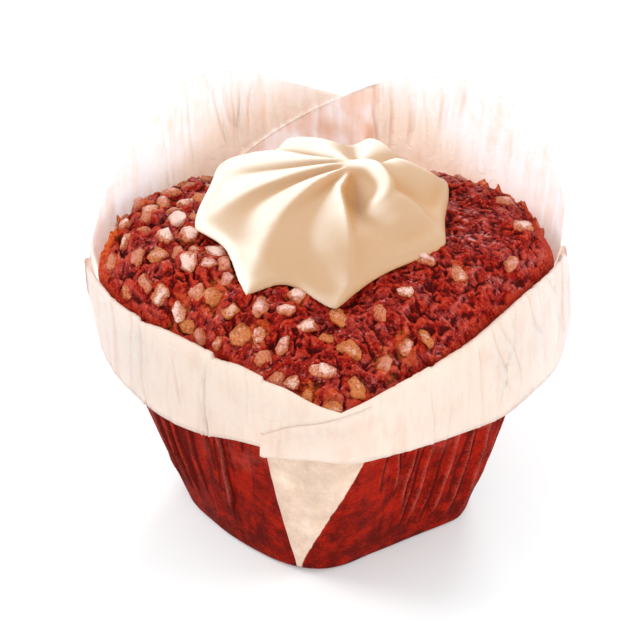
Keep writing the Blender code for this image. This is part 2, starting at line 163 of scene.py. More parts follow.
# Creases left by the die: (direction at 60 mm up, slant, half width, height, from, to), where
# from and to are distances up the sheet. These are the ones that stand out.
CREASES = [
    (115.5, 0.38, 0.5, 0.7, 62, 92), (115, 0.24, 0.45, -0.5, 66, 92), (114.2, 0.05, 0.45, 0.8, 62, 92),
    (113.8, -0.08, 0.5, 0.7, 62, 92), (112.4, -0.22, 0.5, 0.6, 64, 90), (104, 0.1, 0.9, 0.25, 60, 86),
    (99, -0.2, 0.7, -0.15, 62, 84), (121, 0.15, 0.6, 0.25, 64, 90), (131.5, 0.02, 0.6, 0.4, 60, 90),
    (134, 0.08, 0.8, 0.25, 60, 88), (143, 0.05, 0.7, 0.2, 60, 88), (150, 0.1, 0.9, 0.2, 60, 88),
    (165, 0.1, 0.5, 0.3, 58, 76), (169, -0.2, 0.4, 0.25, 58, 72), (79, 0.05, 0.8, 0.2, 62, 86),
    (75.6, 0.06, 0.5, 0.3, 58, 74), (73.4, 0.05, 0.5, -0.3, 58, 78), (70.5, 0.05, 0.7, 0.25, 60, 90),
    (67.5, -0.2, 0.7, 0.3, 62, 92), (64, 0.1, 0.8, 0.35, 62, 92), (60.5, 0.18, 0.7, -0.3, 64, 92),
    (57, -0.2, 0.8, 0.35, 64, 94), (53, 0.1, 0.8, 0.35, 64, 94), (49, -0.12, 0.8, 0.3, 64, 94),
    (45, 0.08, 0.7, 0.25, 64, 94), (38, 0.06, 1, 0.2, 64, 94), (31, 0.06, 0.9, 0.18, 62, 92),
    (14, 0, 0.5, 0.35, 56, 80), (9, 0, 0.6, 0.25, 56, 76), (196, 0, 0.5, 0.35, 50, 82),
    (203.5, 0, 0.4, -0.35, 52, 80), (205.5, 0.05, 0.35, 0.35, 50, 84), (215, 0.35, 0.45, 0.35, 60, 78),
    (224, 0.45, 0.5, 0.35, 66, 84), (228, 0.3, 0.4, -0.35, 68, 84), (231.5, -0.1, 0.4, 0.4, 58, 84),
    (236, -0.25, 0.4, 0.25, 66, 84), (246, 0.3, 0.5, 0.15, 60, 76), (290, 0.2, 0.5, 0.3, 60, 72),
    (298, 0.2, 0.5, 0.35, 60, 80), (303, -0.3, 0.4, 0.45, 66, 76), (309, -0.2, 0.4, 0.4, 68, 80),
    (318, 0.15, 0.5, 0.4, 58, 80), (323, 0.45, 0.45, 0.5, 58, 84), (327, 0.4, 0.45, 0.5, 58, 84),
    (331, 0.2, 0.45, 0.5, 58, 84), (334, -0.35, 0.45, 0.45, 58, 84), (338, 0.3, 0.45, 0.5, 58, 84),
    (342, 0.1, 0.5, 0.5, 56, 84), (346, 0.3, 0.45, 0.45, 58, 84), (350, 0, 0.4, 0.45, 56, 84),
    (355.5, 0, 0.45, -0.95, 58, 84), (358, 0, 0.7, 0.6, 56, 84), (224, 0.02, 0.8, 0.3, 20, 60),
    (229.5, -0.02, 0.5, 0.85, 8, 60), (214, 0, 0.8, 0.4, 10, 60), (197, 0, 0.7, 0.45, 8, 60),
    (202, 0, 0.7, 0.6, 8, 60), (207, 0, 0.8, 0.55, 8, 60), (240, 0, 0.6, 0.3, 30, 60),
    (288, 0, 0.5, 0.55, 22, 60), (292.5, -0.04, 0.5, 0.85, 18, 60), (297, 0, 0.6, -0.5, 30, 60),
    (302, 0.05, 0.6, 0.7, 12, 60), (307, 0.12, 0.9, 0.5, 6, 60), (313.5, 0.15, 0.7, 0.8, 6, 60),
    (320, 0.15, 0.9, 0.5, 5, 60), (325, 0.12, 0.7, 0.85, 4, 60), (332, 0.08, 0.9, 0.6, 4, 60),
    (338, 0.05, 0.7, 0.8, 4, 60), (345, 0, 0.8, 0.6, 4, 60), (351, 0, 0.7, -0.6, 4, 60),
]
CREASE_SEED, SMALL_CREASES = 11, 90
RUN_RADIUS = 42.0
# A crease is a crest with a dip beside it: the dip's place and width in half widths of the
# crest, its depth as a share of the crest's height, and how much both are deepened.
DIP_PLACE, DIP_WIDTH, DIP_DEPTH, CREASE_LIFT = 1.3, 0.6, 0.5, 1.3


def small_creases():
    """Many faint creases in between, wherever the sheet had paper to spare."""
    draw = random.Random(CREASE_SEED)
    made = []
    for _ in range(SMALL_CREASES):
        low = draw.choice((draw.uniform(2, 25), draw.uniform(54, 66)))
        made.append((
            draw.uniform(0, 360), draw.gauss(0, 0.12), draw.uniform(0.3, 1.1),
            draw.choice((-1, 1)) * draw.uniform(0.05, 0.16), low, low + draw.uniform(16, 46),
        ))
    return made


ALL_CREASES = CREASES + small_creases()


def crease_relief(direction, travel):
    """How far the creases lift the sheet, how strongly their crests show, and the lines beside them."""
    relief, mark, gap = np.zeros_like(travel), np.zeros_like(travel), np.zeros_like(travel)
    for place, slant, width, height, low, high in ALL_CREASES:
        wander = 0.5 * np.sin(travel / 5.3 + place) + 0.25 * np.sin(travel / 2.1 + 2 * place)
        turn = (direction - place - slant * (travel - 60) - wander + 180) % 360 - 180
        across = np.radians(turn) * RUN_RADIUS / width
        length = smooth(low, low + 7, travel) * (1 - smooth(high - 7, high, travel))
        crest = np.exp(-np.abs(across) ** 1.4) * length
        beside = np.exp(-((across - math.copysign(DIP_PLACE, height)) / DIP_WIDTH) ** 2) * length
        relief += CREASE_LIFT * abs(height) * (crest - DIP_DEPTH * beside)
        mark += abs(height) * crest
        gap += abs(height) * beside
    return relief, mark, gap


def place_points(direction, radius, height):
    angle = np.radians(direction)
    return np.stack([radius * np.cos(angle), radius * np.sin(angle), height], axis=-1)


def select(*pieces):
    """Selects only these pieces and makes the first one active."""
    bpy.ops.object.select_all(action="DESELECT")
    for piece in pieces:
        piece.select_set(True)
    if pieces:
        bpy.context.view_layer.objects.active = pieces[0]


def add_mark(piece, name, values):
    """Stores one number a vertex, for the piece's finish to read."""
    layer = piece.data.attributes.new(name, "FLOAT", "POINT")
    layer.data.foreach_set("value", np.asarray(values, np.float32))


def grid_piece(name, points, **marks):
    """A grid primitive, bent so that its rows run through the given points."""
    rows, columns = points.shape[:2]
    select()
    bpy.ops.mesh.primitive_grid_add(x_subdivisions=columns - 1, y_subdivisions=rows - 1, size=1)
    piece = bpy.context.object
    piece.name = piece.data.name = name
    piece.data.vertices.foreach_set("co", (points * MM).reshape(-1))
    for mark, values in marks.items():
        add_mark(piece, mark, np.broadcast_to(values, (rows, columns)).reshape(-1))
    piece.data.update()
    return piece


def weld(piece, distance):
    """Closes seams and poles, and turns the faces outward."""
    select(piece)
    bpy.ops.object.mode_set(mode="EDIT")
    bpy.ops.mesh.select_all(action="SELECT")
    bpy.ops.mesh.remove_doubles(threshold=distance * MM)
    bpy.ops.mesh.normals_make_consistent(inside=False)
    bpy.ops.object.mode_set(mode="OBJECT")


def modify(piece, kind, **settings):
    """Adds a modifier, sets it and applies it."""
    select(piece)
    modifier = piece.modifiers.new(kind.lower(), kind)
    for key, value in settings.items():
        setattr(modifier, key, value)
    bpy.ops.object.modifier_apply(modifier=modifier.name)


def paper_piece(name, points, directions, travel, **marks):
    """A piece of the sheet, with the paper's thickness half to each side."""
    run = np.radians(directions) * RUN_RADIUS
    piece = grid_piece(name, points, travel=travel, run=run, **marks)
    weld(piece, PAPER_WELD)
    modify(piece, "SOLIDIFY", thickness=PAPER * MM, offset=0.0)
    bpy.ops.object.shade_smooth()
    return piece


STAIN_TOP = 53.0
# The left and the right corner: (direction, half width in degrees, how much lower).
STAIN_DIPS = ((182.5, 8.0, 9.0), (2.5, 7.0, 6.0))
# Where the back petals lap: directions where the lap starts, is full, starts to fade and ends.
BACK_LAP = (75, 79, 112, 118)
# The petals dry out over this stretch of the sheet, sooner by this much away from the back.
DRYING, DRY_SOONER = (60, 84), 14
COLLAR_DRY, COLLAR_DRIER = 0.2, 0.4


def bell(direction, place, width):
    """1 at one direction, fading out on both sides of it."""
    return np.exp(-(((direction - place + 180) % 360 - 180) / width) ** 2)


def between(direction, limits):
    """1 in the middle of a range of directions, fading out towards its ends."""
    start, full, fade, end = limits
    return smooth(start, full, direction % 360) * (1 - smooth(fade, end, direction % 360))


def stain_top(direction):
    """The red stops lower down at the left and right corners, where the cake doesn't reach."""
    return STAIN_TOP - sum(drop * bell(direction, place, width) for place, width, drop in STAIN_DIPS)


def doubled_share(direction, travel):
    """Where one layer of paper backs another, which changes the light it passes, and its tint: partly tan, as
    painted shade.
    """
    below = 1 - smooth(-0.3, 0.3, travel - keyed(direction, RIGHT_PETAL))
    corner = np.abs((direction - FOLD_TURN + 90) % 180 - 90)
    corners = (1 - smooth(2, 5, corner)) * (1 - smooth(0, 6, np.abs(direction - FRONT) - 174))
    return between(direction, BACK_LAP) * below + 1.6 * corners


def dryness(direction, travel):
    """The paper is white where no butter reached it: towards the petals' free edges."""
    middle = np.abs((direction - BACK + 180) % 360 - 180)
    sooner = DRY_SOONER * smooth(20, 75, middle)
    petals = smooth(*DRYING, travel + sooner) * (1 - smooth(96, 104, middle))
    collar = COLLAR_DRY + COLLAR_DRIER * smooth(40, 85, np.abs(direction - FRONT))
    return np.where(middle > 90, collar, petals)


def build_sheet():
    direction = even_directions(FOLD_TURN, FOLD_TURN + 360, SHEET_COLUMNS + 1)
    fold = fold_height(direction)
    front = direction > FOLD_TURN + 180
    rows, travel, lifted = [], [], []

    def add(radius, height, way, lift):
        rows.append(place_points(direction, radius, height))
        travel.append(way + 0 * direction)
        lifted.append(lift + 0 * direction)

    base = wall_radius(direction, 0.0) - BASE_FILLET
    for share in FLOOR_SHARES:
        add(base * share, 0 * base, 0.0, 0.0)
    for turn in FILLET_TURNS:
        height = BASE_FILLET * (1 - math.cos(math.radians(turn)))
        inward = BASE_FILLET * (1 - math.sin(math.radians(turn)))
        add(wall_radius(direction, height) - inward, height + 0 * direction, height, 0.0)
    for k in range(1, WALL_ROWS + 1):
        height = BASE_FILLET + (fold - BASE_FILLET) * k / WALL_ROWS
        add(wall_radius(direction, height), height, height, np.minimum(height / 6, 1))
    rim = wall_radius(direction, fold)
    for k in range(1, BEND_ROWS + 1):
        turn = math.pi * k / BEND_ROWS
        share = BEND_SHARE * k / BEND_ROWS
        standing = fold + (petal_edge(direction) - fold) * share
        radius = np.where(front, rim + COLLAR_BEND * (1 - math.cos(turn)), wall_radius(direction, standing))
        height = np.where(front, fold + COLLAR_BEND * math.sin(turn), standing)
        way = np.where(front, fold + COLLAR_BEND * turn, standing)
        add(radius, height, way, BEND_RELIEF)
    for k in range(1, HANGING_ROWS + 1):
        share = k / HANGING_ROWS
        standing = fold + (petal_edge(direction) - fold) * (BEND_SHARE + (1 - BEND_SHARE) * share)
        hanging = fold + (keyed(direction, COLLAR_EDGE) - fold) * share
        radius = np.where(front, collar_radius(direction, hanging), wall_radius(direction, standing))
        height = np.where(front, hanging, standing)
        way = np.where(front, 2 * fold + BEND_TRAVEL - hanging, standing)
        calm = (1 - EDGE_RELIEF) * smooth(0.75, 1.0, share)
        add(radius, height, way, np.where(front, 1.0, 1 - calm))
    points, travel, lifted = np.array(rows), np.array(travel), np.array(lifted)
    directions = np.broadcast_to(direction, travel.shape)
    relief, mark, gap = crease_relief(directions, travel)
    points += place_points(directions, relief * lifted, 0 * relief)
    return paper_piece(
        "paper_sheet", points, directions, travel, crease=mark, gap=gap,
        stain=stain_top(directions) - travel, doubled=doubled_share(directions, travel),
        dryness=dryness(directions, travel),
    )


FLAP_START, FLAP_END, FLAP_COLUMNS, FLAP_ROWS = 76.0, 118.0, 150, 14
FLAP_LIFT = 0.45


def build_flap():
    """The end of the right petal, which passes inside the left one."""
    direction = even_directions(FLAP_START, FLAP_END, FLAP_COLUMNS + 1)
    low = fold_height(direction) - 2
    top = keyed(direction, RIGHT_PETAL)
    share = np.linspace(0, 1, FLAP_ROWS + 1)[:, None]
    height = low + (top - low) * share
    directions = np.broadcast_to(direction, height.shape)
    apart = (FLAP_LIFT + 0.1) * smooth(FLAP_START, FLAP_START + 6, directions) - 0.03
    relief, mark, gap = crease_relief(directions, height)
    points = place_points(directions, wall_radius(directions, height) - apart + relief, height)
    return paper_piece(
        "paper_flap", points, directions, height, crease=mark, gap=gap,
        stain=stain_top(directions) - height, dryness=dryness(directions, height),
        doubled=1.9 - 0.9 * smooth(FLAP_START, FLAP_START + 8, directions),
    )


TONGUE_START, TONGUE_END = 252.4, 287.0
TONGUE_EDGE = ((253.5, 39.1), (261, 41.6), (269, 43.9), (281, 42.0), (293, 39.4))
TONGUE_TOP = ((253.5, 44.4), (262, 49.8), (271, 53.6), (273.5, 54.3), (276, 54.9), (286, 56.0))
TONGUE_LIFT, TONGUE_TRAVEL, TONGUE_COLUMNS, TONGUE_ROWS = 0.55, 120, 110, 10


def build_tongue():
    """The end of the right collar, which lies over the left one at the front."""
    direction = even_directions(TONGUE_START, TONGUE_END, TONGUE_COLUMNS + 1)
    low, top = keyed(direction, TONGUE_EDGE) - 0.15, keyed(direction, TONGUE_TOP)
    share = np.linspace(0, 1, TONGUE_ROWS + 1)[:, None]
    height = low + (top - low) * share
    directions = np.broadcast_to(direction, height.shape)
    raised = 1 - smooth(270, TONGUE_END, directions)
    apart = -0.16 + (0.26 + TONGUE_LIFT * (1 - 0.55 * share)) * raised
    relief, mark, gap = crease_relief(directions, 2 * fold_height(directions) + BEND_TRAVEL - height)
    points = place_points(directions, collar_radius(directions, height) + apart + relief, height)
    return paper_piece(
        "paper_tongue", points, directions, TONGUE_TRAVEL - height, crease=mark * 0.3, gap=gap * 0.3,
        stain=-9, doubled=0.15, dryness=0.2,
    )


PLEAT_LEFT = ((2, 258.6), (36, 251.6), (54, 248.0))
PLEAT_RIGHT = ((2, 260.6), (36, 280.4), (54, 289.0))
PLEAT_BOTTOM, PLEAT_TOP, PLEAT_BEYOND = 1.4, 50.0, 5.0
PLEAT_LIFT, PLEAT_COLUMNS, PLEAT_ROWS = 0.75, 70, 60


def build_pleat():
    """The spare paper at the front corner: a wedge that is folded flat against the wall."""
    height = np.linspace(PLEAT_BOTTOM, PLEAT_TOP, PLEAT_ROWS + 1)[:, None]
    left, right = keyed(height, PLEAT_LEFT), keyed(height, PLEAT_RIGHT)
    beyond = np.degrees(PLEAT_BEYOND / wall_radius(right, height))
    share = np.linspace(0, 1, PLEAT_COLUMNS + 1)
    directions = left + (right + beyond - left) * share
    height = height + 0 * directions
    past = np.radians(directions - right) * wall_radius(directions, height)
    apart = 0.1 + PLEAT_LIFT * (1 - smooth(0.0, 0.75, share)) * smooth(0, 14, height)
    relief, mark, gap = crease_relief(directions, height)
    ripple = 0.10 * np.sin(height / 3.1 + directions / 5) + 0.06 * np.sin(height / 1.3 - directions / 2.3)
    near = smooth(0.5, 1.0, share)
    points = place_points(directions, wall_radius(directions, height) + apart + relief * near
                          + ripple * (1 - near), height)
    return paper_piece(
        "paper_pleat", points, directions, height, crease=mark * 0.4 * near, gap=gap * 0.4 * near,
        stain=past * 5, doubled=0.3, dryness=0.0, backed=1.0,
    )


class Value:
    """A shader socket that Python's arithmetic works on."""

    def __init__(self, finish, socket):
        self.finish, self.socket = finish, socket

    def combine(self, operation, first, second, clamp=False):
        settings = {"operation": operation, "use_clamp": clamp}
        return self.finish.node("ShaderNodeMath", settings, {0: first, 1: second})

    def __add__(self, other):
        return self.combine("ADD", self, other)

    __radd__ = __add__

    def __sub__(self, other):
        return self.combine("SUBTRACT", self, other)

    def __rsub__(self, other):
        return self.combine("SUBTRACT", other, self)

    def __mul__(self, other):
        return self.combine("MULTIPLY", self, other)

    __rmul__ = __mul__

    def clamped(self):
        return self.combine("ADD", self, 0.0, clamp=True)


class Finish:
    """A material, and the one method that makes its nodes."""

    def __init__(self, name, fixed):
        self.material = bpy.data.materials.new(name)
        self.material.use_nodes = True
        self.tree = self.material.node_tree
        self.surface = self.tree.nodes["Principled BSDF"]
        self.output = self.tree.nodes["Material Output"]
        for key, value in fixed.items():
            self.surface.inputs[key].default_value = value
        self.position = self.node("ShaderNodeTexCoord", output="Object")
        self.millimetres = self.node(
            "ShaderNodeVectorMath", {"operation": "SCALE"}, {0: self.position, "Scale": 1 / MM})

    def node(self, kind, settings=None, inputs=None, output=0):
        made = self.tree.nodes.new(kind)
        for key, value in (settings or {}).items():
            setattr(made, key, value)
        for key, value in (inputs or {}).items():
            self.feed(made.inputs[key], value)
        return Value(self, made.outputs[output])

    def feed(self, socket, value):
        if isinstance(value, Value):
            self.tree.links.new(value.socket, socket)
        else:
            socket.default_value = value

    def mark(self, name):
        return self.node("ShaderNodeAttribute", {"attribute_name": name}, output="Fac")

    def noise(self, size, detail=2.0, rough=0.5, place=None, warp=0.0):
        inputs = {"Vector": place or self.millimetres, "Scale": 1 / size, "Detail": detail,
                  "Roughness": rough, "Distortion": warp}
        return self.node("ShaderNodeTexNoise", inputs=inputs)

    def mix(self, share, first, second):
        inputs = {0: share, 6: self.colour(first), 7: self.colour(second)}
        return self.node("ShaderNodeMix", {"data_type": "RGBA"}, inputs, output=2)

    def colour(self, value):
        return value if isinstance(value, Value) else (*value, 1.0)

    def step(self, value, start, end):
        inputs = {0: value, 1: start, 2: end, 3: 0.0, 4: 1.0}
        return self.node("ShaderNodeMapRange", {"interpolation_type": "SMOOTHSTEP"}, inputs)

    def bump(self, height, depth):
        inputs = {"Height": height, "Distance": depth * MM, "Strength": 1.0}
        return self.node("ShaderNodeBump", inputs=inputs)

    def set(self, **inputs):
        for key, value in inputs.items():
            self.feed(self.surface.inputs[key.replace("_", " ").title()], value)

    def let_light_through(self, colour, share):
        """Mixes in light that comes from the other side."""
        through = self.node("ShaderNodeBsdfTranslucent", inputs={"Color": colour})
        direct = Value(self, self.surface.outputs[0])
        both = self.node("ShaderNodeMixShader", inputs={0: share, 1: direct, 2: through})
        self.tree.links.new(both.socket, self.output.inputs[0])

    def put_on(self, *pieces):
        for piece in pieces:
            piece.data.materials.clear()
            piece.data.materials.append(self.material)


PAPER_WHITE, PAPER_WARM, PAPER_TAN = (0.97, 0.945, 0.95), (0.97, 0.86, 0.77), (0.86, 0.60, 0.43)
PAPER_SOIL_AND_SHADE, FIBRE_STRETCH = (0.46, 0.34, 0.28), 0.12
RED_DARK, RED_MID, RED_PALE = (0.10, 0.003, 0.001), (0.35, 0.010, 0.002), (0.57, 0.120, 0.090)


def paper_finish():
    """Matte greaseproof paper, with fine fibres up the sheet and the red stain of the cake."""
    paper = Finish("paper", {"Roughness": 0.6, "Specular IOR Level": 0.03})
    place = {"X": paper.mark("run"), "Y": paper.mark("travel") * FIBRE_STRETCH}
    along = paper.node("ShaderNodeCombineXYZ", inputs=place)
    fibre = paper.noise(0.9, 4, 0.6, along)
    streak = paper.noise(2.6, 3, 0.6, along)
    cloud = paper.noise(7.0, 4, 0.6)
    grain = paper.noise(0.35, 3, 0.6)
    crease, gap = paper.mark("crease"), paper.mark("gap")
    doubled, backed = paper.mark("doubled"), paper.mark("backed")
    dry = paper.step(paper.mark("dryness") + (cloud - 0.5) * 0.6 + (streak - 0.5) * 0.5, 0.1, 1.0)
    mottle = (fibre - 0.5) * 0.5 + (streak - 0.5) * 0.6 + (cloud - 0.5) * 0.9 + (grain - 0.5) * 0.3
    # Painted shade and highlight: the dips beside creases turn tan, partly as butter lines and partly as
    # painted shade, and the crests turn whiter as a painted highlight.
    lines = gap * (1.0 - dry * 0.6 - doubled * 0.3) - crease * 0.6
    # Painted shade: doubled layers, the inner corners and the pleat (backed) are tinted tan.
    tan = (doubled * 0.14 + backed * 0.75 + lines + mottle + 0.07).clamped()
    bare = paper.mix(tan, paper.mix((dry + doubled).clamped(), PAPER_WARM, PAPER_WHITE), PAPER_TAN)
    # Painted shade: the pleat lies under the collar and is darkened, with tan-grey soiled clouds over it.
    soil_and_shade = backed * (0.45 + (cloud - 0.5) * 1.3 + (grain - 0.5) * 0.6)
    bare = paper.mix(soil_and_shade.clamped(), bare, PAPER_SOIL_AND_SHADE)
    patch = paper.noise(4.5, 5, 0.66)
    height = paper.step(paper.mark("travel"), -5.0, 45.0)
    # Painted shade and highlight: the red is darker in the dips beside creases and paler along their crests,
    # over the stain's own mottling.
    shade = patch * 0.75 + streak * 0.15 + (grain - 0.5) * 0.5 + 0.05 - gap * 1.2 + (height - 0.6) * 0.14
    red = paper.mix(paper.step(shade, 0.34, 0.62), RED_DARK, RED_MID)
    high = paper.step(height + (cloud - 0.5) * 1.6, 0.75, 1.25) * 0.5
    pale = (paper.step(streak * 0.5 + crease * 0.5 + grain * 0.5, 0.62, 1.15) * 0.7 + high * grain).clamped()
    red = paper.mix(pale, red, RED_PALE)
    edge = paper.mark("stain") + (paper.noise(2.2, 4, 0.6) - 0.5) * 4.0
    soaked = paper.step(edge, -0.7, 0.7)
    colour = paper.mix(soaked, bare, red)
    pleats = paper.noise(5.5, 2, 0.5, along)
    crumple = paper.noise(3.4, 2, 0.5, warp=1.5)
    relief = fibre * 0.2 + streak * 0.35 + pleats + crumple * 0.7 + grain * 0.12 + patch * 0.2
    paper.set(base_color=colour, normal=paper.bump(relief, 0.6))
    paper.let_light_through(colour, (1 - soaked) * (0.43 + dry * 0.09 + doubled * 0.42) * (1 - backed))
    return paper


case_pieces = [build_sheet(), build_flap(), build_tongue(), build_pleat()]
paper_finish().put_on(*case_pieces)
for case_piece in case_pieces:
    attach(case_piece, "root")
    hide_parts("paper_case")

# ----------------------------------------
# Sponge
# The cake itself, baked in the case: a rough, moist crumb with pits and clumps on the low
# dome, and a thin crisp edge where it climbed the paper. The sides fill the case.

CRUMB_CELLS, CRUMB_SEED = 252, 1
CAKE_INSET, EDGE_SHARE, DROP_FROM = 0.2, 0.985, 200
RIM_BELOW_FOLD = ((0, 1.6), (90, 4.0), (180, 1.8), (225, 1.2), (270, 1.0), (315, 1.2), (360, 1.6))
SIDE_HEIGHTS = (0.9, 0.6, 0.3, 0.04)
CORNER_GAPS = ((177, 6.5, 4.6), (4, 5.0, 3.2))
# The crumb is roughest on the left. The rim browned round the back, most widely on the right
# of it: directions where the browning starts, is full, starts to fade and ends.
ROUGHEST, SIDEWAYS = 190, 0.35
BROWNED, WIDE_BROWNED, WIDE_CRUST = (2, 20, 178, 192), (2, 20, 80, 110), 0.07
RIM_SHARES, CRUST_SHARES = (0.955, 0.995), (0.93, 0.985)
HOLLOW_ROUNDS, DIP_ROUNDS = 5, 30


def surface_of(node):
    """A solid's surface, for dropping things onto it from above."""
    return BVHTree.FromObject(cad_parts[node], bpy.context.evaluated_depsgraph_get())


cake_surface = surface_of("sponge")
cream_surface = surface_of("cream")


def land(surface, x, y):
    """Where something dropped from high above meets a surface, and the surface's normal there."""
    return surface.ray_cast(Vector((x * MM, y * MM, DROP_FROM * MM)), Vector((0, 0, -1)))[:2]


def drop(surface, x, y):
    """Height of a surface below a point, in mm, or None beside it."""
    hit = land(surface, x, y)[0]
    return None if hit is None else hit.z / MM


def crumbs(place, size):
    """Irregular lumps with a cleft round each one, and a hole here and there."""
    distances, points = noise.voronoi(place / size)[:2]
    return (noise.cell(points[0] * 7.3) - 0.25) * min((distances[1] - distances[0]) * 2.4, 1)


def crumb_relief(place, roughness):
    """Height of the crumb over the even dome, in mm: each term is a noise of its own size."""
    warped = place + noise.noise_vector(place / 3.2) * 1.5 + noise.noise_vector(place / 0.9) * 0.35
    lumps = noise.fractal(place / 9.0, 0.9, 2.0, 3) * 1.4
    cleft = max(1 - abs(noise.noise(warped / 5.6 + Vector((3, 9, 2)))) / 0.08, 0)
    cleft *= float(smooth(-0.1, 0.3, noise.noise(place / 8.0 + Vector((1, 5, 8)))))
    fine = noise.fractal(place / 0.9, 0.8, 2.0, 3) * 0.16
    pit = max(noise.noise(warped / 1.35 + Vector((7, 3, 1))) - 0.36, 0) / 0.3
    large, small = crumbs(warped, 4.2) * 1.25, crumbs(warped, 1.6) * 0.32
    return lumps + (large - 0.3) * roughness + small + fine - 0.9 * cleft * roughness - 0.7 * pit - 0.3


def vertex_vectors(mesh, kind):
    """The place (co) or the normal of each vertex, one to a row."""
    values = np.empty(len(mesh.vertices) * 3)
    mesh.vertices.foreach_get(kind, values)
    return values.reshape(-1, 3)


def hollowness(mesh, rounds):
    """How deep each point lies in a hollow (+) or stands on a ridge (-), in mm."""
    start = vertex_vectors(mesh, "co")
    count = len(start)
    pairs = np.empty(len(mesh.edges) * 2, int)
    mesh.edges.foreach_get("vertices", pairs)
    one, two = pairs.reshape(-1, 2).T
    share = 1 / np.maximum(np.bincount(one, minlength=count) + np.bincount(two, minlength=count), 1)
    even = start.copy()
    for _ in range(rounds):
        for axis in range(3):
            drawn = np.bincount(one, even[two, axis], count) + np.bincount(two, even[one, axis], count)
            even[:, axis] = 0.5 * even[:, axis] + 0.5 * drawn * share
    return ((even - start) * vertex_vectors(mesh, "normal")).sum(axis=1) / MM


def corner_gap(direction):
    """How far the cake stops short of the left and right corners of the case."""
    return sum(gap * bell(direction, place, width) for place, width, gap in CORNER_GAPS)


def build_sponge():
    even = np.linspace(-1, 1, CRUMB_CELLS + 1)
    across, along = np.meshgrid(even, even)
    share = np.maximum(np.abs(across), np.abs(along))
    direction = np.degrees(np.arctan2(along, across)) - 45 + FOLD_TURN
    rim = fold_height(direction) - keyed(direction % 360, RIM_BELOW_FOLD)
    reach = wall_radius(direction, rim) - CAKE_INSET - corner_gap(direction)
    points = place_points(direction, reach * share, rim)
    crust = np.zeros_like(share)
    for row, column in np.ndindex(share.shape):
        x, y, edge = points[row, column]
        inward = min(1.0, EDGE_SHARE / max(share[row, column], 1e-6))
        height = drop(cake_surface, x * inward, y * inward)
        height = edge if height is None else height
        place = Vector((x, y, height))
        turn = direction[row, column]
        roughness = 0.95 + 0.35 * math.cos(math.radians(turn - ROUGHEST))
        relief = crumb_relief(place, roughness)
        nearness = float(smooth(*RIM_SHARES, share[row, column]))
        ragged = 1.3 + 2.6 * noise.noise(place / 2.2) + 1.3 * noise.noise(place / 0.9)
        sideways = noise.noise_vector(place / 1.6) * SIDEWAYS * (1 - nearness)
        browned = between(turn, BROWNED)
        wide = share[row, column] + WIDE_CRUST * between(turn, WIDE_BROWNED)
        crust[row, column] = float(smooth(*CRUST_SHARES, wide)) * browned
        points[row, column] = (
            x + sideways.x, y + sideways.y,
            height + relief * (1 - 0.3 * nearness) + ragged * crust[row, column] * 0.8 - 0.2 * nearness - 0.2)
    sponge = grid_piece("sponge_crumb", points, crust=crust)
    mesh = sponge.data
    bpy.ops.object.mode_set(mode="EDIT")
    bpy.ops.mesh.select_all(action="DESELECT")
    bpy.ops.mesh.select_non_manifold(extend=False, use_wire=False, use_multi_face=False,
                                     use_non_contiguous=False, use_verts=False)
    for level in SIDE_HEIGHTS:
        bpy.ops.mesh.extrude_edges_move()
        bpy.ops.object.mode_set(mode="OBJECT")
        for vertex in mesh.vertices:
            if vertex.select:
                turn = math.degrees(math.atan2(vertex.co.y, vertex.co.x))
                height = level * float(fold_height(np.array(turn)))
                gap = float(corner_gap(turn)) * max(level * 2 - 0.8, 0)
                radius = float(wall_radius(np.array(turn % 360), height)) - CAKE_INSET - 0.1 - gap
                vertex.co = place_points(turn, radius, height) * MM
        bpy.ops.object.mode_set(mode="EDIT")
    bpy.ops.mesh.edge_face_add()
    bpy.ops.mesh.select_all(action="SELECT")
    bpy.ops.mesh.normals_make_consistent(inside=False)
    bpy.ops.object.mode_set(mode="OBJECT")
    bpy.ops.object.shade_smooth()
    add_mark(sponge, "hollow", hollowness(mesh, HOLLOW_ROUNDS))
    add_mark(sponge, "dip", hollowness(mesh, DIP_ROUNDS))
    return sponge


CRUMB_DARK, CRUMB_MID, CRUMB_BRIGHT = (0.070, 0.002, 0.001), (0.29, 0.006, 0.002), (0.50, 0.038, 0.015)
CRUMB_PAINTED_SPARKLE = (0.80, 0.26, 0.16)
CRUST_ORANGE = (0.80, 0.15, 0.02)


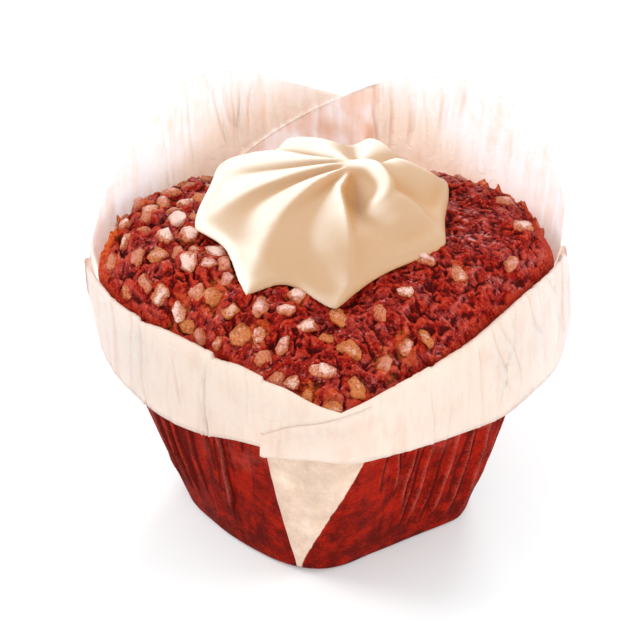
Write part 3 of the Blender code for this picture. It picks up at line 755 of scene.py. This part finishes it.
def sponge_finish():
    """Moist red crumb, glossy in patches: painted shade darkens the pits and hollows, painted light brightens
    the clumps, and painted highlights add pink glints.
    """
    crumb = Finish("sponge", {"Coat Roughness": 0.14, "Specular IOR Level": 0.06})
    # Painted shade and light: the colour darkens in the crumb's hollows and pits and brightens on its clumps.
    hollow = crumb.mark("hollow") * 2.4 + crumb.mark("dip") * 0.7
    speckle = crumb.noise(0.9, 4, 0.62)
    grain = crumb.noise(0.38, 3, 0.6)
    patch = crumb.noise(5.0, 3, 0.5)
    wet = crumb.step(patch + (speckle - 0.5) * 0.5, 0.40, 0.62)
    shade = 0.48 - hollow + (speckle - 0.5) * 1.4 + (grain - 0.5) * 1.6 + (patch - 0.5) * 0.9 - wet * 0.12
    colour = crumb.mix(crumb.step(shade, 0.05, 0.55), CRUMB_DARK, CRUMB_MID)
    colour = crumb.mix(crumb.step(shade, 0.5, 1.1), colour, CRUMB_BRIGHT)
    # Painted highlight: tiny pink glints on the lighter crumb.
    painted_sparkle = crumb.step(crumb.noise(0.5, 2, 0.7), 0.60, 0.70) * crumb.step(shade, 0.2, 0.7)
    colour = crumb.mix(painted_sparkle * 0.45, colour, CRUMB_PAINTED_SPARKLE)
    rims = crumb.step(crumb.mark("halo") + (speckle - 0.5) * 2.0 + (patch - 0.5), 0.6, 1.2) * 0.3
    orange = (crumb.mark("crust") * crumb.step(speckle, 0.40, 0.54) + rims).clamped()
    colour = crumb.mix(orange, colour, CRUST_ORANGE)
    relief = speckle * 0.5 + grain * 0.35
    crumb.set(base_color=colour, normal=crumb.bump(relief, 1.0), roughness=0.6 - wet * 0.3,
              coat_weight=wet * crumb.step(shade, 0.1, 0.5) * 0.5)
    return crumb


noise.seed_set(CRUMB_SEED)
sponge = build_sponge()
sponge_finish().put_on(sponge)
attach(sponge, "root")
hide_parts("sponge")

# ----------------------------------------
# Sugar nibs
# Coarse grains of pressed sugar, scattered before baking. They sit half sunk in the crumb,
# cloudy white on top and browned to amber where the heat and the cake reached them.

NIB_KINDS, NIB_SEED, NIB_TRIES = 7, 5, 2600
NIB_LENGTH, NIB_SPACING, NIB_HEIGHT = (3.8, 6.2), 4.3, 56.0
NIB_SHARES, NIB_CLEARANCE, NIB_TIP = (0.02, 0.93), 0.42, 0.35
BROWNED_SHARE, NIB_SYRUP = 0.16, (-0.3, 1.15)
# The ring that the batter makes round a nib: its height, and its radius for a nib 1 long.
NIB_BANK, NIB_BED = 0.35, 0.45
# The flats on a nib: how many, how far from its middle, and how much of what's beyond is cut.
NIB_CUTS, CUT_REACH, CUT_SHARE = 9, (0.30, 0.42), 0.85
# Where a nib rests: below its middle and 1.4 mm to each side of it.
NIB_FEET = ((0, 0), (1.4, 0), (-1.4, 0), (0, 1.4), (0, -1.4))
NIB_WIDTH, NIB_THICKNESS, NIB_SUNK = (0.68, 0.95), (0.5, 0.72), (-0.13, 0.02)


def make_nib(kind):
    """One nib, 1 across: a ball with its sides cut flat, then roughened."""
    draw = random.Random(kind)
    select()
    bpy.ops.mesh.primitive_ico_sphere_add(subdivisions=4, radius=0.5)
    nib = bpy.context.object
    cuts = []
    for _ in range(NIB_CUTS):
        way = Vector([draw.gauss(0, 1) for _ in range(3)]).normalized()
        cuts.append((way, draw.uniform(*CUT_REACH)))
    for vertex in nib.data.vertices:
        place = vertex.co.copy()
        for way, reach in cuts:
            over = place.dot(way) - reach
            if over > 0:
                place -= way * over * CUT_SHARE
        place += place.normalized() * (noise.noise(place * 3.5 + Vector((kind, 0, 0))) * 0.09
                                       + noise.noise(place * 11) * 0.035)
        vertex.co = place
    return nib


def nib_chance(direction, share):
    """The nibs lie thickest on the left and towards the edge, and thinnest on the right."""
    left = 0.5 + 0.5 * math.cos(math.radians(direction - 205))
    edge = share * share
    right = max(math.cos(math.radians(direction - 335)), 0)
    return min(0.10 + 0.95 * left ** 1.3 + 0.15 * edge - 0.25 * right * (1 - edge * 0.5), 1.0)


def bed_nibs(beds):
    """The batter rises in an uneven ring round each nib, and the syrup browns it there."""
    mesh = sponge.data
    points = vertex_vectors(mesh, "co") / MM
    uneven = np.sin(points[:, 0] * 1.7) * np.sin(points[:, 1] * 1.9) * 0.4 + 0.8
    halo = np.zeros(len(points))
    for x, y, radius, syrup in beds:
        away = np.hypot(points[:, 0] - x, points[:, 1] - y) / radius
        points[:, 2] += NIB_BANK * np.exp(-((away - 0.95) / 0.3) ** 2) * uneven * (points[:, 2] > 50)
        halo = np.maximum(halo, syrup * (1 - smooth(0.95, 1.4, away)))
    mesh.vertices.foreach_set("co", (points * MM).reshape(-1))
    mesh.update()
    add_mark(sponge, "halo", halo)


def scatter_nibs():
    draw = random.Random(NIB_SEED)
    crumb_surface = BVHTree.FromObject(sponge, bpy.context.evaluated_depsgraph_get())
    kinds = [make_nib(kind) for kind in range(NIB_KINDS)]
    copies, beds = [], []
    for _ in range(NIB_TRIES):
        direction, share = draw.uniform(0, 360), math.sqrt(draw.uniform(*NIB_SHARES))
        chance = draw.random()
        reach = float(wall_radius(np.array(direction), NIB_HEIGHT))
        x, y = (reach * share * f(math.radians(direction)) for f in (math.cos, math.sin))
        length = draw.uniform(*NIB_LENGTH)
        if chance > nib_chance(direction, share) or reach * (1 - share) < length * NIB_CLEARANCE:
            continue
        spacing = NIB_SPACING * (0.8 + 0.9 * (1 - nib_chance(direction, share)))
        if any(math.hypot(x - a, y - b) < spacing for a, b, *_ in beds):
            continue
        if drop(cream_surface, x, y) is not None:
            continue
        around = [drop(crumb_surface, x + a, y + b) for a, b in NIB_FEET]
        if None in around:
            continue
        normal = land(cake_surface, x, y)[1]
        hit = Vector((x, y, sum(around) / len(around))) * MM
        source = draw.choice(kinds)
        nib = source.copy()
        nib.data = source.data.copy()
        bpy.context.collection.objects.link(nib)
        lie = normal.to_track_quat("Z", "Y").to_matrix().to_4x4()
        spin = Matrix.Rotation(draw.uniform(0, math.tau), 4, "Z")
        tip = Matrix.Rotation(draw.gauss(0, NIB_TIP), 4, "X")
        width, thickness = draw.uniform(*NIB_WIDTH), draw.uniform(*NIB_THICKNESS)
        size = Matrix.Diagonal((length, length * width, length * thickness, 1))
        middle = hit + normal * length * draw.uniform(*NIB_SUNK) * MM
        nib.data.transform(Matrix.Translation(middle) @ lie @ spin @ tip @ size @ Matrix.Scale(MM, 4))
        flat = normal.normalized()
        depth = [(v.co - hit).dot(flat) / MM for v in nib.data.vertices]
        add_mark(nib, "above", depth)
        add_mark(nib, "browned", [float(draw.random() < BROWNED_SHARE)] * len(depth))
        add_mark(nib, "coated", [draw.random()] * len(depth))
        copies.append(nib)
        beds.append((x, y, length * NIB_BED, draw.uniform(*NIB_SYRUP)))
    bed_nibs(beds)
    for kind in kinds:
        bpy.data.objects.remove(kind)
    select(*copies)
    bpy.ops.object.join()
    nibs = bpy.context.object
    nibs.name = nibs.data.name = "sugar_nibs"
    bpy.ops.object.shade_smooth()
    return nibs


SUGAR_WHITE, SUGAR_PINK, SUGAR_COATED = (0.86, 0.58, 0.50), (0.62, 0.22, 0.16), (0.40, 0.035, 0.015)
SUGAR_AMBER, SUGAR_BROWN = (0.60, 0.17, 0.030), (0.30, 0.045, 0.008)


def sugar_finish():
    """Cloudy sugar: pale on top, tinted where the red batter rose over it, amber round the rim."""
    sugar = Finish("sugar", {"Roughness": 0.38, "Subsurface Weight": 0.15, "Subsurface Scale": 0.0008,
                             "Subsurface Radius": (1.0, 0.5, 0.35)})
    speckle = sugar.noise(0.5, 3, 0.7)
    patch = sugar.noise(2.0, 3)
    level = sugar.mark("above") + (speckle - 0.5) * 2.2 + (patch - 0.5) * 1.6
    bare = sugar.step(level - sugar.mark("coated") * 1.5, 0.0, 1.2)
    colour = sugar.mix(sugar.step(level, -0.1, 0.9), SUGAR_COATED, SUGAR_PINK)
    colour = sugar.mix(bare, colour, SUGAR_WHITE)
    amber = sugar.mix(sugar.step(speckle, 0.30, 0.55), SUGAR_BROWN, SUGAR_AMBER)
    rim = (sugar.step(level, -0.2, 0.3) * (1 - sugar.step(level, 0.5, 1.5)) * 0.75).clamped()
    browned = sugar.mark("browned") * 0.75 * (1 - sugar.step(level, 1.0, 2.4) * 0.6)
    colour = sugar.mix((browned + rim).clamped(), colour, amber)
    sugar.set(base_color=colour, normal=sugar.bump(speckle, 0.5))
    return sugar


nibs = scatter_nibs()
sugar_finish().put_on(nibs)
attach(nibs, "root")

# ----------------------------------------
# Cream
# One rosette, piped through a wide star nozzle that was turned and lifted off to the
# right: eight soft ridges run up from the toes, and the last of the cream curls over.

# Each ridge from its toe to the crest, and the depth of the groove beyond it at both ends.
RIDGES = (
    (((2.1, -30.4, 66.4), (4.3, -27.2, 70.2), (5.0, -19.5, 74.4), (4.2, -12.1, 78.4), (2.9, -3.7, 81.4)),
     4.2, 5.0),
    (((25.2, -12.2, 69.6), (22.6, -8.0, 73.6), (18.5, -4.5, 76.8), (14.3, -3.2, 79.4), (12.2, 1.2, 81.0)),
     3.0, 1.2),
    (((26.4, 12.6, 70.4), (23.8, 10.6, 74.6), (19.1, 10.5, 77.8), (15.4, 9.6, 79.8), (12.0, 5.6, 81.2)),
     4.4, 1.2),
    (((11.2, 29.4, 69.0), (10.1, 27.2, 74.4), (9.1, 18.9, 78.2), (8.1, 11.9, 80.2), (7.6, 7.0, 81.4)),
     4.4, 1.2),
    (((-9.2, 29.4, 69.0), (-8.3, 27.2, 74.4), (-5.0, 20.1, 78.0), (-0.9, 13.1, 80.0), (3.2, 7.2, 81.4)),
     3.4, 1.4),
    (((-23.8, 21.2, 70.0), (-21.2, 17.7, 74.6), (-13.8, 13.5, 77.8), (-6.4, 10.0, 79.8), (3.6, 6.8, 81.5)),
     3.4, 1.6),
    (((-27.8, -6.2, 69.6), (-24.0, -3.2, 73.6), (-16.9, 1.3, 76.8), (-8.9, 3.1, 79.4), (2.6, 5.0, 81.6)),
     4.4, 2.2),
    (((-16.6, -26.0, 68.0), (-14.4, -19.2, 72.8), (-10.7, -10.3, 76.8), (-4.6, -3.0, 79.8), (1.4, 1.4, 81.6)),
     5.0, 2.4),
)
CREST, CAKE_EDGE = np.array((5.8, 4.6, 81.8)), 60.0
ROSETTE_RADIUS, RING_CROWDING, CREAM_SUNK = 27.0, 1.3, 0.5
TOE_SLOPE, CREST_SLOPE = 15, 85
EDGE_WIDTH, EDGE_HEIGHT, EDGE_RISE, EDGE_BLEND = 1.7, 1.9, 0.22, 0.8
VALLEY_SKEW, VALLEY_POWER, TROUGH = 0.85, 1.35, 0.25
LOBE_SHARES = (0.10, 0.50)
POCKET_PLACE, POCKET_REACH, POCKET_DEPTH = (7.6, -2.6), (5.2, 7.0), 2.6
RIDGE_COLUMNS, ROSETTE_RINGS = 32, 60
UNDER_SHARES = (0.0, 0.3, 0.6, 0.8, 0.9, 0.965)
CURL_ROUTE = (
    (1.0, 5.6, 77.6), (5.4, 5.0, 79.0), (9.4, 4.2, 79.4), (11.7, 1.5, 78.9), (12.7, -1.4, 78.0),
    (11.9, -4.0, 77.0), (10.2, -5.3, 76.4),
)
CURL_SIZES = (1.6, 2.4, 2.7, 2.5, 2.2, 2.0, 1.3)
CURL_ROWS, CURL_COLUMNS = 33, 25
CREAM_WELD, VOXEL, SMOOTH_ROUNDS = 0.01, 0.36, 34
GROOVE_ROUNDS, VALLEY_ROUNDS = 80, 500
# Painted light: the cream is painted palest where it faces this way, towards the left lamp, and paler to the
# back and the left.
PAINTED_LIGHT_SIDE, PAINTED_LEFT_LIGHT, PAINTED_BACK_LIGHT = Vector((-0.75, 0.15, 0.65)), 0.012, 1.8


def along_route(route, share):
    position = share * (len(route) - 1)
    axes = [keyed(position, [(i, place[axis]) for i, place in enumerate(route)]) for axis in range(3)]
    return np.stack(axes, axis=-1)


def cake_height(x, y):
    height = drop(cake_surface, x, y)
    return CAKE_EDGE if height is None else height


def groove_shape(t, share):
    """The groove between two ridges: 0 on them, 1 at its deepest. Near the toes it is an even
    valley. Higher up it drops sharply beside the first ridge and swells up to the next."""
    valley = math.sin(math.pi * t ** VALLEY_SKEW) ** VALLEY_POWER
    if t < TROUGH:
        lobe = float(smooth(0, 1, t / TROUGH))
    else:
        lobe = 1 - math.sin(math.pi / 2 * (t - TROUGH) / (1 - TROUGH))
    return valley + (lobe - valley) * smooth(*LOBE_SHARES, share)


def rosette_rings():
    share = np.linspace(0, 1, ROSETTE_RINGS + 1) ** RING_CROWDING
    columns = []
    for i, (route, toe_groove, crest_groove) in enumerate(RIDGES):
        start, end = along_route(route, share), along_route(RIDGES[(i + 1) % len(RIDGES)][0], share)
        chord = np.linalg.norm(end - start, axis=1)
        groove_depth = toe_groove + (crest_groove - toe_groove) * share
        for k in range(RIDGE_COLUMNS):
            t = k / RIDGE_COLUMNS
            place = start + (end - start) * t
            swell = chord ** 2 / (8 * ROSETTE_RADIUS) * math.sin(math.pi * t)
            lift = swell - groove_depth * groove_shape(t, share)
            out = place[:, :2] - CREST[:2] / 2
            out /= np.linalg.norm(out, axis=1)[:, None]
            slope = np.radians(TOE_SLOPE + (CREST_SLOPE - TOE_SLOPE) * share)
            way = np.column_stack([out * np.cos(slope)[:, None], np.sin(slope)])
            columns.append(place + way * lift[:, None])
    rings = np.array(columns).transpose(1, 0, 2)
    caps = [rings[-1] + (CREST - rings[-1]) * part for part in (0.25, 0.5, 0.75, 1.0)]
    return np.array([*rings, *caps])


def build_rosette():
    rings = rosette_rings()
    floor = np.array([[cake_height(x, y) for x, y, _ in ring] for ring in rings])
    inward = np.linalg.norm(rings[:, :, :2] - rings[0, :, :2], axis=2)
    turned = np.sqrt(1 - (1 - np.minimum(inward / EDGE_WIDTH, 1)) ** 2)
    least = floor + EDGE_HEIGHT * turned + EDGE_RISE * np.maximum(inward - EDGE_WIDTH, 0)
    over = rings[:, :, 2] - least
    blend = 0.5 * (over + np.sqrt(over ** 2 + EDGE_BLEND ** 2)) * smooth(0, EDGE_WIDTH, inward)
    rings[:, :, 2] = least + blend
    away = np.hypot(*((rings[:, :, :2] - POCKET_PLACE) / POCKET_REACH).transpose(2, 0, 1))
    rings[:, :, 2] -= POCKET_DEPTH * np.exp(-away ** 1.8)
    under = []
    for part in UNDER_SHARES:
        ring = rings[0] * part
        ring[:, 2] = [cake_height(x, y) - CREAM_SUNK for x, y in ring[:, :2]]
        under.append(ring)
    rows = np.array([*under, *rings])
    rows = np.concatenate([rows, rows[:, :1]], axis=1)
    body = grid_piece("cream_rosette", rows)
    weld(body, CREAM_WELD)
    return body


def build_curl():
    """The tail of the cream, as a round tapered sweep."""
    share = np.linspace(0, 1, CURL_ROWS)
    route = along_route(CURL_ROUTE, share)
    size = keyed(share * (len(CURL_SIZES) - 1), list(enumerate(CURL_SIZES)))
    ahead = np.gradient(route, axis=0)
    ahead /= np.linalg.norm(ahead, axis=1)[:, None]
    side = np.cross(ahead, (0, 0, 1.0))
    side /= np.linalg.norm(side, axis=1)[:, None]
    up = np.cross(side, ahead)
    turn = np.linspace(0, math.tau, CURL_COLUMNS)[None, :, None]
    round_way = side[:, None] * np.cos(turn) + up[:, None] * np.sin(turn)
    rows = route[:, None] + round_way * size[:, None, None]
    first, last = (np.repeat(end[:, None], CURL_COLUMNS, axis=1) for end in (route[:1], route[-1:]))
    curl = grid_piece("curl", np.concatenate([first, rows, last]))
    weld(curl, CREAM_WELD)
    return curl


def build_cream():
    body, curl = build_rosette(), build_curl()
    select(body, curl)
    bpy.ops.object.join()
    modify(body, "REMESH", mode="VOXEL", voxel_size=VOXEL * MM)
    modify(body, "SMOOTH", factor=0.5, iterations=SMOOTH_ROUNDS)
    bpy.ops.object.shade_smooth()
    add_mark(body, "hollow", hollowness(body.data, GROOVE_ROUNDS))
    add_mark(body, "valley", hollowness(body.data, VALLEY_ROUNDS))
    heights = [v.co.z / MM - cake_height(v.co.x / MM, v.co.y / MM) for v in body.data.vertices]
    add_mark(body, "height", heights)
    # Painted light: how far each point faces the left lamp, plus a lift to the back and the left.
    lit = [v.normal.dot(PAINTED_LIGHT_SIDE) + PAINTED_LEFT_LIGHT * (max(v.co.y, 0) * PAINTED_BACK_LIGHT + max(-v.co.x, 0)) / MM
           for v in body.data.vertices]
    add_mark(body, "painted_light", lit)
    return body


CREAM_PAINTED_LIGHT, CREAM_MID, CREAM_PAINTED_SHADE = (0.90, 0.825, 0.715), (0.53, 0.34, 0.20), (0.52, 0.27, 0.11)


def cream_finish():
    """Soft whipped cream with its light and shade painted: ivory as painted light on the ridges and the sides
    towards the left lamp, warm beige as painted shade in the grooves and low down by the cake.
    """
    cream = Finish("cream", {"Roughness": 0.5, "Specular IOR Level": 0.3, "Subsurface Weight": 0.15,
                             "Subsurface Scale": 0.0015, "Subsurface Radius": (1.0, 0.6, 0.35)})
    cloud = cream.noise(6.0, 2)
    # Painted shade: the colour turns beige in the grooves and low down where the cream meets the cake.
    low = 1 - cream.step(cream.mark("height"), 0.5, 5.5)
    shade = cream.mark("hollow") * 0.75 + cream.mark("valley") * 0.3 + (cloud - 0.5) * 0.15 + low * 0.3
    # Painted light: where the cream faces the left lamp, or lies far back or left, it takes the lighter
    # ivory.
    shade = shade - (cream.mark("painted_light") - 0.68) * 1.0
    colour = cream.mix(cream.step(shade, -0.75, 0.1), CREAM_PAINTED_LIGHT, CREAM_MID)
    colour = cream.mix(cream.step(shade, 0.1, 1.2), colour, CREAM_PAINTED_SHADE)
    fine = cream.noise(0.45, 3, 0.7)
    relief = cream.noise(1.6, 3, 0.55) + fine * 0.5
    cream.set(base_color=colour, normal=cream.bump(relief, 0.09))
    return cream


cream = build_cream()
cream_finish().put_on(cream)
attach(cream, "root")
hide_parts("cream")

# ----------------------------------------
# Floor, light and camera
# A pale table in an even white room, with four large soft lamps: left, front, back and right.
# Places, sizes and distances here are metres, and the lens and its sensor millimetres.

TARGET = Vector((0.0, 0.0, 0.042))
DISTANCE, ELEVATION, LENS = 0.700, 33.0, 181.0
SENSOR, SHIFT_X, SHIFT_Y = 36.0, -0.009375, 0.015625
FLOOR_SIZE, ROOM_LIGHT = 6.0, 0.72
# Each lamp: name, place, side, power in watts, colour.
LAMPS = (
    ("left_lamp", (-0.75, 0.15, 0.65), 0.45, 4.8, (1.0, 0.985, 0.96)),
    ("front_lamp", (0.2, -1.0, 0.40), 0.8, 5.5, (1, 1, 1)),
    ("back_lamp", (0.25, 0.9, 0.6), 0.4, 4.3, (1, 1, 1)),
    ("right_lamp", (0.85, 0.0, 0.45), 0.5, 2.5, (1, 1, 1)),
)

select()
bpy.ops.mesh.primitive_plane_add(size=FLOOR_SIZE, location=(0, 0, 0))
floor = bpy.context.object
floor.name = floor.data.name = "floor"
table = Finish("floor", {"Roughness": 0.9, "Base Color": (0.80, 0.845, 0.855, 1.0),
                        "Emission Color": (1.0, 1.0, 1.0, 1.0), "Emission Strength": 0.16})
table.put_on(floor)

for name, place, size, power, colour in LAMPS:
    lamp_data = bpy.data.lights.new(name, "AREA")
    lamp_data.shape, lamp_data.size = "SQUARE", size
    lamp_data.energy, lamp_data.color = power, colour
    lamp = bpy.data.objects.new(name, lamp_data)
    bpy.context.collection.objects.link(lamp)
    lamp.location = place
    lamp.rotation_euler = (TARGET - Vector(place)).to_track_quat("-Z", "Y").to_euler()

world = bpy.data.worlds.new("studio")
bpy.context.scene.world = world
world.use_nodes = True
room = world.node_tree.nodes["Background"].inputs
room["Color"].default_value = (1.0, 1.0, 1.0, 1.0)
room["Strength"].default_value = ROOM_LIGHT

camera_data = bpy.data.cameras.new("camera")
camera_data.lens, camera_data.sensor_width = LENS, SENSOR
camera_data.shift_x, camera_data.shift_y = SHIFT_X, SHIFT_Y
camera = bpy.data.objects.new("camera", camera_data)
bpy.context.collection.objects.link(camera)
lift = math.radians(ELEVATION)
back = Vector((0, -math.cos(lift), math.sin(lift)))
camera.location = TARGET + back * DISTANCE
camera.rotation_euler = back.to_track_quat("Z", "Y").to_euler()
bpy.context.scene.camera = camera
bpy.context.scene.view_settings.view_transform = "Standard"
